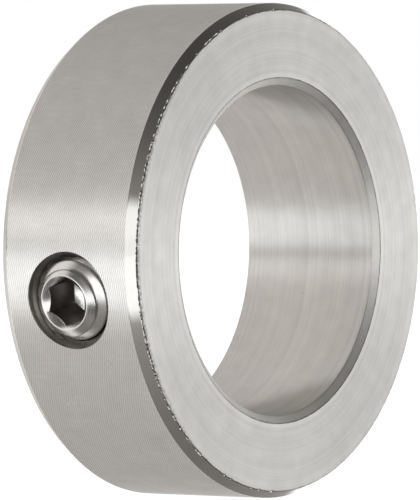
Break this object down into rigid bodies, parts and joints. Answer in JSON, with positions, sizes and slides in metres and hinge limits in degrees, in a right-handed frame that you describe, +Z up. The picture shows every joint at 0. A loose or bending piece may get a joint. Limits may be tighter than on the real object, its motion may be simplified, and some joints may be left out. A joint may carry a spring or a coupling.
{
  "type": "shaft collar",
  "caption": "One-piece stainless steel shaft collar: a chamfered ring with a plain round bore, held on its shaft by a hexagon socket set screw in a tapped, counterbored radial hole.",
  "frame": {"origin": "centre of the bore, half way along its length", "axes": "+X along the bore, out of the front face; +Z up with the collar standing on its rim; the set screw is on the -Y side, 11 degrees below the horizontal"},
  "size_m": [0.019, 0.058, 0.0572],
  "materials": {
    "collar_steel": "fine turned stainless steel, with brighter chamfers",
    "screw_steel": "bright rolled stainless steel, dark in the socket"
  },
  "bodies": {
    "collar": {"collar_body": "collar_steel"},
    "screw": {"set_screw": "screw_steel"}
  },
  "joints": [
    {"name": "screw_advance", "type": "slide", "parent": "collar", "child": "screw", "axis": [0, 0.9816, 0.1908], "range_m": [-0.0057, 0.0009]}
  ]
}
